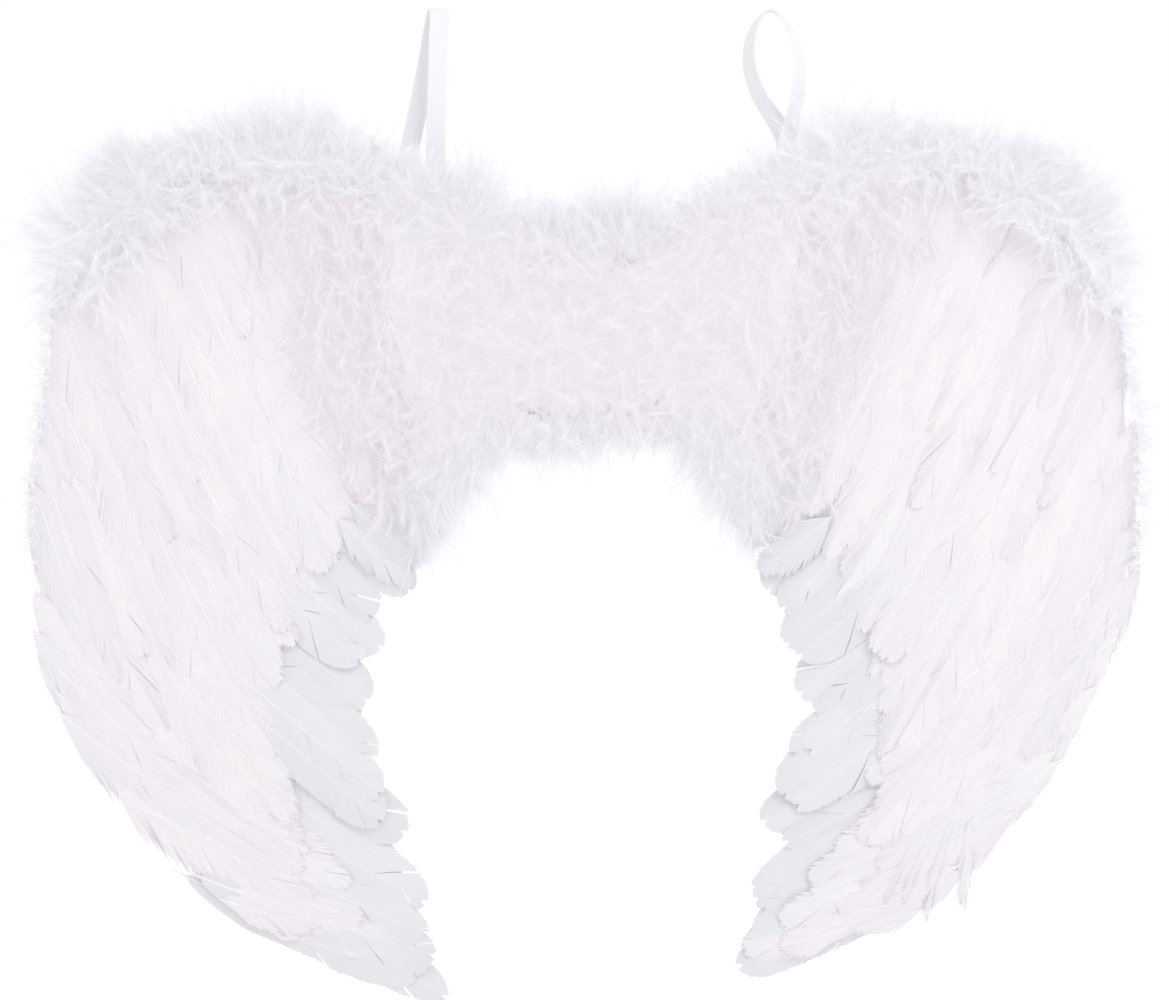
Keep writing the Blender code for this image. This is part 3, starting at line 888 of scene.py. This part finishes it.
def make_fold_tape(wing):
    """The woven tape over the fold line."""
    rows, columns = 61, 41
    low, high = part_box(f"{wing.prefix}_fold_tape")
    across, down = np.meshgrid(np.linspace(low.x, high.x, columns), np.linspace(high.z, low.z, rows))
    weave = 0.04 * MM * np.sin(np.arange(rows))[:, None] * np.sin(np.arange(columns) * 2.0)[None, :]
    points = np.stack((across, high.y - 0.06 * MM + weave, down), axis=2)
    under = points.copy()
    under[:, :, 1] = low.y
    mesh = Mesh()
    mesh.add(points.reshape(-1, 3), grid_quads(rows, columns), 0)
    mesh.add(under.reshape(-1, 3), grid_quads(rows, columns)[:, ::-1], 0)
    for column in (0, columns - 1):
        wall = np.stack((points[:, column], under[:, column]), axis=1)
        mesh.add(wall.reshape(-1, 3), grid_quads(rows, 2), 0)
    for row in (0, rows - 1):
        wall = np.stack((points[row], under[row]), axis=1)
        mesh.add(wall.reshape(-1, 3), grid_quads(columns, 2), 0)
    piece = mesh.build(f"{wing.prefix}_woven_fold_tape", [TAPE], feathery=False)
    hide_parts(f"{wing.prefix}_fold_tape")
    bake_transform(piece)


STITCH_PITCH = 2.4 * MM
STITCH_HALF_LENGTH = 0.8
STITCH_SIDES = 7


def add_stitches(mesh, start, end, slot):
    """A row of short raised stitches from start to end on a face that looks along +Y."""
    start, end = np.array(start), np.array(end)
    way = unit(end - start)
    count = int(np.linalg.norm(end - start) / STITCH_PITCH)
    side = np.cross(way, FRONT)
    for index in range(count):
        middle = start + way * (index + 0.5) * STITCH_PITCH
        places = np.linspace(-STITCH_HALF_LENGTH, STITCH_HALF_LENGTH, STITCH_SIDES) * MM
        rise = np.sqrt(np.clip(1 - (places / (0.85 * MM)) ** 2, 0, 1)) * 0.30 * MM
        turn = np.linspace(0, 2 * pi, STITCH_SIDES)
        ring = [
            middle + way * place + np.array((0, 1, 0)) * (height * 0.6)
            + side * 0.22 * MM * cos(angle) + np.array((0, 1, 0)) * 0.18 * MM * sin(angle)
            for place, height in zip(places, rise) for angle in turn
        ]
        mesh.add(np.array(ring), grid_quads(STITCH_SIDES, STITCH_SIDES), slot)


def make_patch_stitches(wing):
    """The stitching that holds the elastic's ends under the felt patch."""
    low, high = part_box(f"{wing.prefix}_strap_patch")
    inset = 2.0 * MM
    left, right = low.x + inset, high.x - inset
    bottom, top = low.z + inset, high.z - inset
    mesh = Mesh()
    face = high.y
    add_stitches(mesh, (left, face, bottom), (right, face, bottom), 0)
    add_stitches(mesh, (left, face, top), (right, face, top), 0)
    add_stitches(mesh, (left, face, bottom), (left, face, top), 0)
    add_stitches(mesh, (right, face, bottom), (right, face, top), 0)
    piece = mesh.build(f"{wing.prefix}_patch_stitching", [THREAD], feathery=False)
    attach(piece, wing.body)


# The elastic loops as (x, y, z, turn of the band in degrees). A band turned by 0 shows its broad side.
LEFT_LOOP = [
    (-0.0800, 0.0024, 0.0015, 0), (-0.0805, 0.0040, 0.045, 0), (-0.0810, 0.0060, 0.095, 0),
    (-0.0800, 0.0075, 0.145, 0), (-0.0795, 0.0100, 0.1620, 0), (-0.0805, 0.0150, 0.1655, 0),
    (-0.0825, 0.0190, 0.1580, 0), (-0.0885, 0.0200, 0.125, 0), (-0.0965, 0.0170, 0.085, 0),
    (-0.1020, 0.0100, 0.045, 0), (-0.1060, 0.0024, 0.0015, 0),
]
RIGHT_LOOP = [
    (0.0860, 0.0024, 0.0015, 0), (0.0930, 0.0045, 0.045, 0), (0.1010, 0.0060, 0.082, 10),
    (0.1085, 0.0065, 0.110, 35), (0.1115, 0.0080, 0.134, 50), (0.1075, 0.0110, 0.154, 70),
    (0.0970, 0.0135, 0.1650, 90), (0.0880, 0.0160, 0.157, 110), (0.0850, 0.0185, 0.140, 130),
    (0.0900, 0.0205, 0.122, 145), (0.1020, 0.0205, 0.102, 165), (0.1120, 0.0165, 0.075, 180),
    (0.1160, 0.0090, 0.040, 180), (0.1170, 0.0024, 0.0015, 180),
]
ELASTIC_WIDTH = 10.0 * MM
ELASTIC_THICKNESS = 1.1 * MM
ELASTIC_RIBS = 9
ELASTIC_STEPS = 420
RIB_HEIGHT = 0.10 * MM


def make_elastic(wing, loop):
    """The ribbed elastic band: soft ribs run along it, and fine cross threads gather it."""
    count = ELASTIC_STEPS
    places = np.linspace(0, len(loop) - 1, count)
    route = np.array([smooth(loop, place) for place in places])
    centre = route[:, :3]
    tangent = units(np.gradient(centre, axis=0))
    turn = np.radians(route[:, 3])
    across = np.stack((np.cos(turn), np.sin(turn), np.zeros(count)), axis=1)
    across = units(across - tangent * (across * tangent).sum(axis=1, keepdims=True))
    through = np.cross(tangent, across)
    columns = 6 * ELASTIC_RIBS + 1
    share = np.linspace(-1, 1, columns)
    rib = RIB_HEIGHT * np.cos(share * pi * ELASTIC_RIBS)
    edge = np.sqrt(np.clip(1 - np.abs(share) ** 14, 0, 1))
    half = (ELASTIC_THICKNESS / 2 - RIB_HEIGHT + rib) * edge
    gather = 1 + 0.05 * np.sin(np.arange(count) * 2.2)[:, None]
    ring_across = np.concatenate((share, share[::-1][1:])) * ELASTIC_WIDTH / 2
    faces = np.concatenate((np.ones(columns), -np.ones(columns - 1)))
    ring_through = faces * np.concatenate((half, half[::-1][1:]))
    points = (
        centre[:, None, :]
        + across[:, None, :] * ring_across[None, :, None]
        + through[:, None, :] * (ring_through[None, :] * gather)[:, :, None]
    )
    mesh = Mesh()
    mesh.add(points.reshape(-1, 3), grid_quads(count, len(ring_across)), 0)
    piece = mesh.build(f"{wing.prefix}_ribbed_elastic", [ELASTIC], feathery=False)
    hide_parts(f"{wing.prefix}_elastic_strap")
    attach(piece, f"{wing.prefix}_strap")


def paint_frame():
    """Better materials on the CAD pieces that stay as they are."""
    painted = {"board": CARD, "wire": STEEL, "patch": FELT}
    for name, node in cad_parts.items():
        for ending, material in painted.items():
            if name.endswith(ending):
                node.data.materials.clear()
                node.data.materials.append(material)


# ---------------------------------------------------------------- camera, light and floor

PICTURE_WIDTH = 0.6137
CAMERA_DISTANCE = 2.4
SENSOR_WIDTH = 36

# Each lamp's name, place, size in metres and power in watts.
LAMPS = (
    ("key", (1.0, -1.6, 1.2), 0.9, 11.0),
    ("fill", (-1.3, 1.4, 0.9), 1.2, 5.0),
)
LAMPS_AIM = (0, 0, -0.1)
FLOOR_HEIGHT = -0.46


def add_camera():
    """A camera that looks straight at the feather side."""
    camera = bpy.data.cameras.new("camera")
    camera.sensor_width = SENSOR_WIDTH
    camera.lens = SENSOR_WIDTH * CAMERA_DISTANCE / PICTURE_WIDTH
    view = bpy.data.objects.new("camera", camera)
    view.location = (-0.0024, -0.012 - CAMERA_DISTANCE, -0.0945)
    view.rotation_euler = (pi / 2, 0, 0)
    bpy.context.scene.collection.objects.link(view)
    bpy.context.scene.camera = view


def add_world():
    """Even white light from all round."""
    world = bpy.data.worlds.new("studio")
    bpy.context.scene.world = world
    world.use_nodes = True
    world.node_tree.nodes["Background"].inputs["Color"].default_value = (1, 1, 1, 1)
    world.node_tree.nodes["Background"].inputs["Strength"].default_value = 1.0


def add_lamps():
    """Two broad soft lamps, one in front and one behind."""
    for name, place, size, power in LAMPS:
        lamp = bpy.data.lights.new(name, "AREA")
        lamp.size = size
        lamp.energy = power
        light = bpy.data.objects.new(name, lamp)
        light.location = place
        aim = Vector(LAMPS_AIM) - light.location
        light.rotation_euler = aim.to_track_quat("-Z", "Y").to_euler()
        bpy.context.scene.collection.objects.link(light)


def add_floor():
    """A pale floor well below the wings."""
    bpy.ops.mesh.primitive_plane_add(size=200, location=(0, 0, FLOOR_HEIGHT))
    floor = bpy.context.object
    floor.name = "studio_floor"
    paint, nodes, _ = new_material("pale_floor")
    shader = nodes["Principled BSDF"]
    shader.inputs["Base Color"].default_value = (0.93, 0.93, 0.93, 1)
    shader.inputs["Roughness"].default_value = 0.9
    shader.inputs["Specular IOR Level"].default_value = 0.1
    shader.inputs["Emission Color"].default_value = (1, 1, 1, 1)
    shader.inputs["Emission Strength"].default_value = 0.12
    floor.data.materials.append(paint)


def make_stage():
    """The camera, the light and the floor."""
    add_camera()
    add_world()
    add_lamps()
    add_floor()
    bpy.context.scene.view_settings.view_transform = "Standard"


make_stage()
for wing in (LEFT, RIGHT):
    make_flight_feathers(wing)
    make_root_feathers(wing)
    make_coverts(wing)
    make_veil(wing)
    make_marabou(wing)
    make_root_down(wing)
    make_fold_down(wing)
    make_back_felt(wing)
    make_fold_tape(wing)
    make_patch_stitches(wing)
make_torn_strips()
make_centre_down()
make_centre_felt()
make_elastic(LEFT, LEFT_LOOP)
make_elastic(RIGHT, RIGHT_LOOP)
paint_frame()
